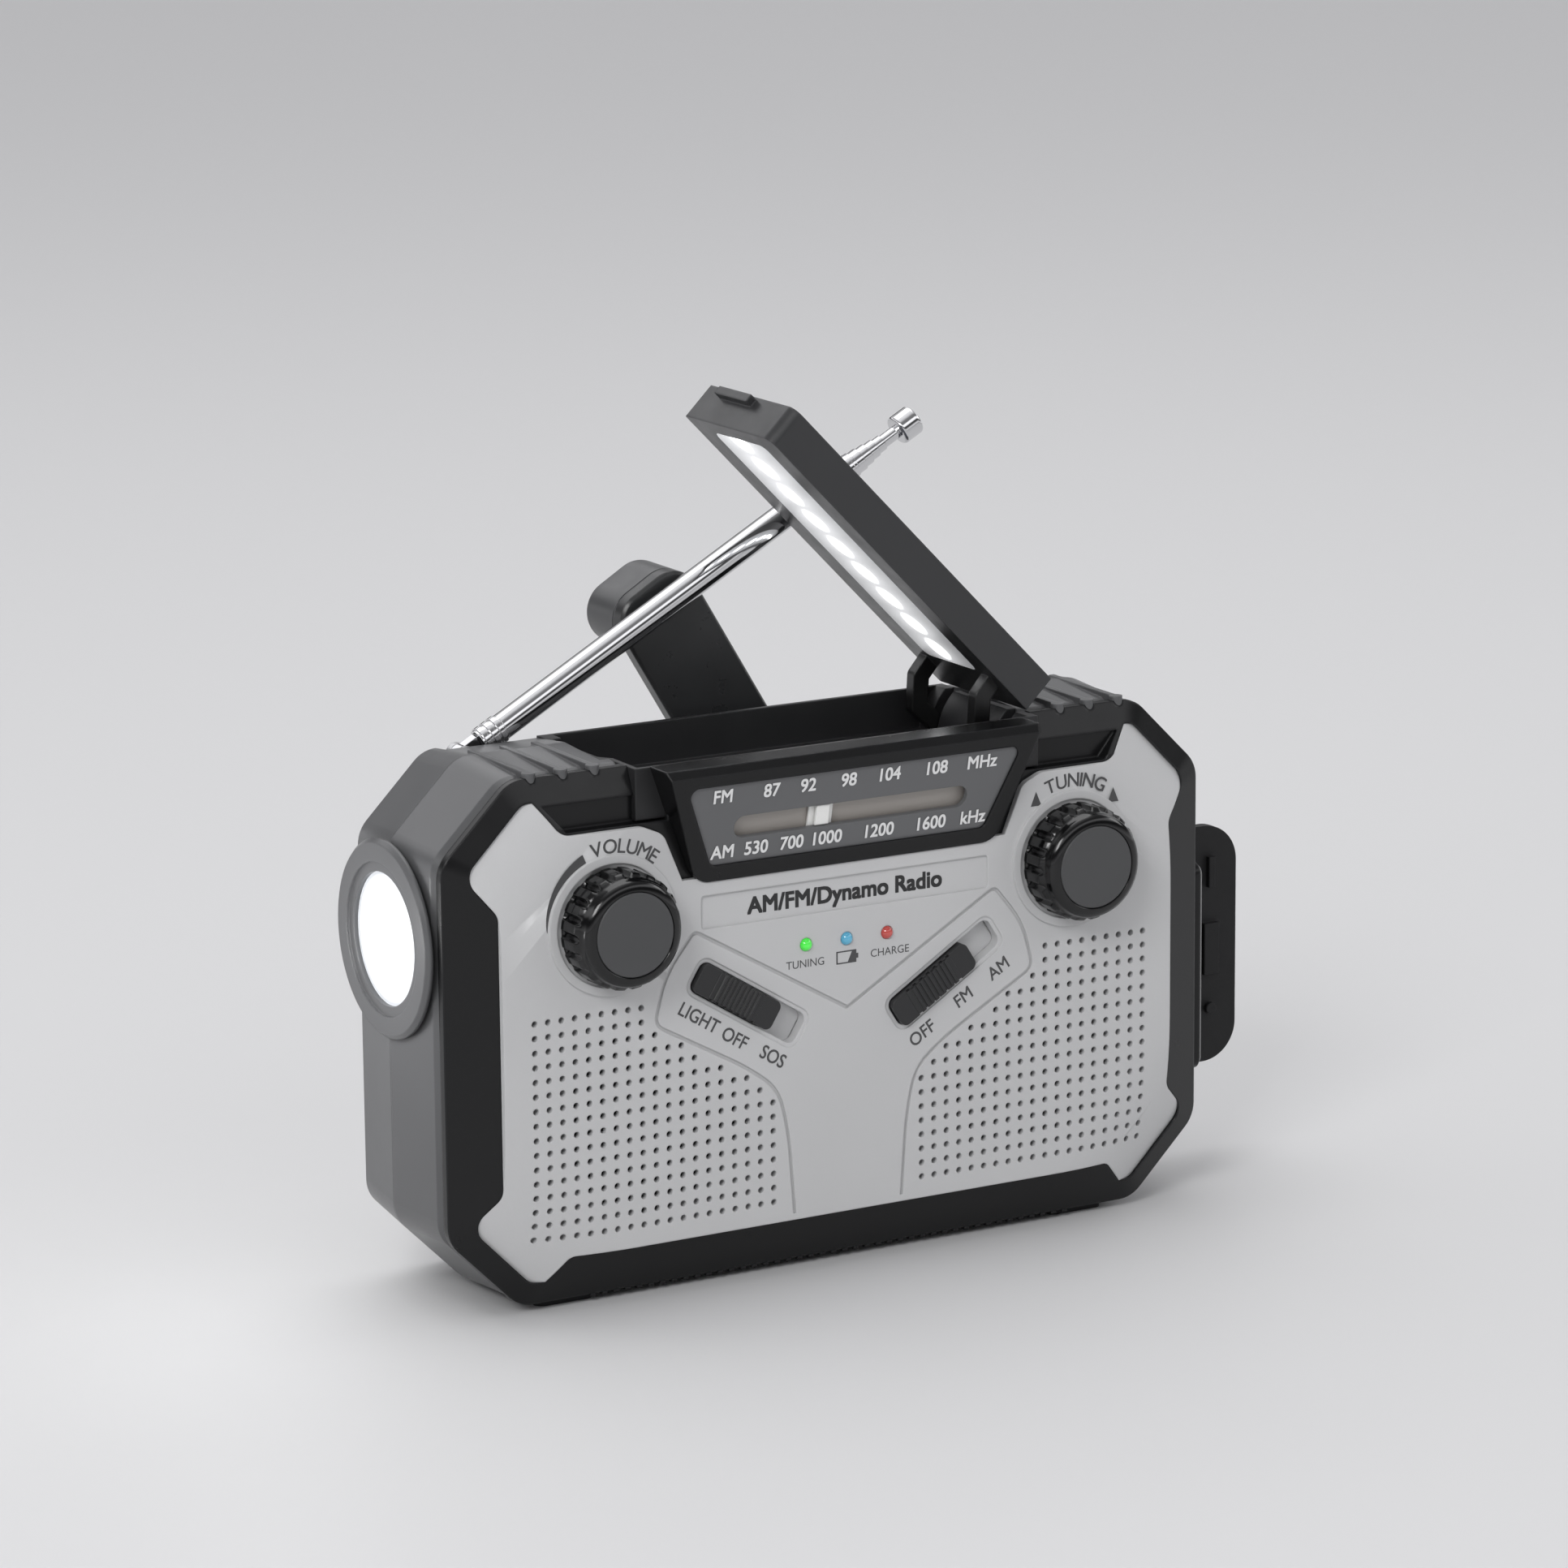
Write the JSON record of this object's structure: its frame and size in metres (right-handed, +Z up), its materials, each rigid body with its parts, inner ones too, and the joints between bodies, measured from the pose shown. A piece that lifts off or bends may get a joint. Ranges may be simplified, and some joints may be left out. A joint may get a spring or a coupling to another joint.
{
  "type": "emergency radio",
  "caption": "Box-shaped emergency radio with a sloping tuning dial, hinged solar lid with reading lamp, rear hand crank, side flashlight and telescopic antenna.",
  "frame": {"origin": "on the ground plane, midway across the front and midway between the face plane and the rear face", "axes": "+X across the front to the right, +Y from the front to the rear, +Z up"},
  "size_m": [0.2259, 0.0815, 0.1941],
  "materials": {
    "shell_grey": "fine spark-eroded texture",
    "frame_dark": "satin",
    "panel_light": "satin, light grey",
    "dial_grey": "satin with white figures",
    "pointer_white": "gloss",
    "lid_black": "satin",
    "solar": "dark cells under clear resin",
    "lamp": "lit white diffuser",
    "board_green": "solder mask",
    "knob_black": "gloss",
    "knob_cap": "satin",
    "steel": "plain",
    "chrome": "polished",
    "rubber": "matt",
    "led_green": "clear lens, lit",
    "led_blue": "clear lens",
    "led_red": "clear lens, lit",
    "switch_black": "satin",
    "part_dark": "plain",
    "ferrite": "ceramic grey",
    "copper": "enamelled wire",
    "cell_wrap": "sleeve",
    "gear_white": "natural nylon",
    "lens_clear": "clear",
    "reflector": "bright",
    "tongue_black": "plain"
  },
  "bodies": {
    "case": {"front_frame": "frame_dark", "front_panel": "panel_light", "middle_shell": "shell_grey", "rear_shell": "shell_grey", "dial_bezel": "frame_dark", "dial_plate": "dial_grey", "lid_tray": "frame_dark", "lid_hinge_pin": "steel", "volume_pot": "steel", "tuning_capacitor": "part_dark", "switch_bodies": "steel", "led_green": "led_green", "led_blue": "led_blue", "led_red": "led_red", "main_board": "board_green", "speakers": "part_dark", "ferrite_rod": "ferrite", "ferrite_coil": "copper", "battery_cells": "cell_wrap", "generator": "steel", "gear_plate": "steel", "antenna_bracket": "steel", "torch_bezel": "frame_dark", "torch_lens": "lens_clear", "torch_reflector": "reflector", "torch_led": "lamp", "port_panel": "frame_dark", "usb_shell": "steel", "usb_tongue": "tongue_black", "charge_socket": "steel", "phone_jack": "steel", "feet": "rubber", "case_screws": "steel"},
    "lid": {"lid_housing": "lid_black", "solar_panel": "solar", "lamp_diffuser": "lamp", "lamp_board": "board_green"},
    "volume": {"volume_knob": "knob_black", "volume_cap": "knob_cap"},
    "tuning": {"tuning_knob": "knob_black", "tuning_cap": "knob_cap"},
    "pointer": {"dial_pointer": "pointer_white"},
    "light_switch": {"light_slider": "switch_black"},
    "band_switch": {"band_slider": "switch_black"},
    "door": {"battery_door": "shell_grey"},
    "cover": {"port_cover": "rubber"},
    "crank": {"crank_arm": "switch_black", "crank_shaft": "steel", "crank_screw": "steel", "crank_gear": "gear_white"},
    "handle": {"crank_handle": "shell_grey"},
    "idler": {"idler_gear": "gear_white"},
    "rotor": {"rotor_pinion": "steel"},
    "antenna": {"antenna_yoke": "chrome", "antenna_tube": "chrome"},
    "antenna_1": {"antenna_section_1": "chrome"},
    "antenna_2": {"antenna_section_2": "chrome"},
    "antenna_3": {"antenna_section_3": "chrome"},
    "antenna_4": {"antenna_section_4": "chrome"},
    "antenna_5": {"antenna_section_5": "chrome"}
  },
  "joints": [
    {"name": "lid_hinge", "type": "hinge", "parent": "case", "child": "lid", "pos_m": [0.0584, 0, 0.1087], "axis": [0, 1, 0], "range_deg": [-45.7, 6]},
    {"name": "volume_turn", "type": "hinge", "parent": "case", "child": "volume", "pos_m": [-0.0583, 0, 0.086], "axis": [0, 1, 0], "range_deg": [-20, 260]},
    {"name": "tuning_turn", "type": "hinge", "parent": "case", "child": "tuning", "pos_m": [0.0583, 0, 0.086], "axis": [0, 1, 0], "range_deg": [-362, 633]},
    {"name": "pointer_slide", "type": "slide", "parent": "case", "child": "pointer", "axis": [1, 0, 0], "range_m": [-0.01905, 0.0333]},
    {"name": "light_slide", "type": "slide", "parent": "case", "child": "light_switch", "axis": [0.848, 0, -0.5299], "range_m": [0, 0.0077]},
    {"name": "band_slide", "type": "slide", "parent": "case", "child": "band_switch", "axis": [0.848, 0, 0.5299], "range_m": [0, 0.0077]},
    {"name": "door_pull", "type": "slide", "parent": "case", "child": "door", "axis": [0, 1, 0], "range_m": [0, 0.03]},
    {"name": "cover_hinge", "type": "hinge", "parent": "case", "child": "cover", "pos_m": [0.1011, 0.0119, 0.05], "axis": [0, 0, 1], "range_deg": [-90, 40]},
    {"name": "crank_turn", "type": "hinge", "parent": "case", "child": "crank", "pos_m": [0.0183, 0, 0.0836], "axis": [0, 1, 0], "continuous": true},
    {"name": "handle_spin", "type": "hinge", "parent": "crank", "child": "handle", "pos_m": [-0.01621, 0, 0.14103], "axis": [0, 1, 0], "continuous": true},
    {"name": "idler_turn", "type": "hinge", "parent": "case", "child": "idler", "pos_m": [-0.00578, 0, 0.0836], "axis": [0, 1, 0], "continuous": true},
    {"name": "rotor_turn", "type": "hinge", "parent": "case", "child": "rotor", "pos_m": [-0.02586, 0, 0.0836], "axis": [0, 1, 0], "continuous": true},
    {"name": "antenna_tilt", "type": "hinge", "parent": "case", "child": "antenna", "pos_m": [-0.0694, 0.0218, 0.1154], "axis": [0, 1, 0], "range_deg": [-90, 29.1]},
    {"name": "antenna_slide_1", "type": "slide", "parent": "antenna", "child": "antenna_1", "axis": [0.8738, 0, 0.4863], "range_m": [0, 0.08]},
    {"name": "antenna_slide_2", "type": "slide", "parent": "antenna_1", "child": "antenna_2", "axis": [0.8738, 0, 0.4863], "range_m": [0, 0.08]},
    {"name": "antenna_slide_3", "type": "slide", "parent": "antenna_2", "child": "antenna_3", "axis": [0.8738, 0, 0.4863], "range_m": [0, 0.08]},
    {"name": "antenna_slide_4", "type": "slide", "parent": "antenna_3", "child": "antenna_4", "axis": [0.8738, 0, 0.4863], "range_m": [0, 0.08]},
    {"name": "antenna_slide_5", "type": "slide", "parent": "antenna_4", "child": "antenna_5", "axis": [0.8738, 0, 0.4863], "range_m": [0, 0.08]}
  ],
  "couplings": [
    {"joint": "pointer_slide", "follows": "tuning_turn", "m_per_rad": 0.003},
    {"joint": "idler_turn", "follows": "crank_turn", "ratio": -4},
    {"joint": "rotor_turn", "follows": "crank_turn", "ratio": 16}
  ]
}
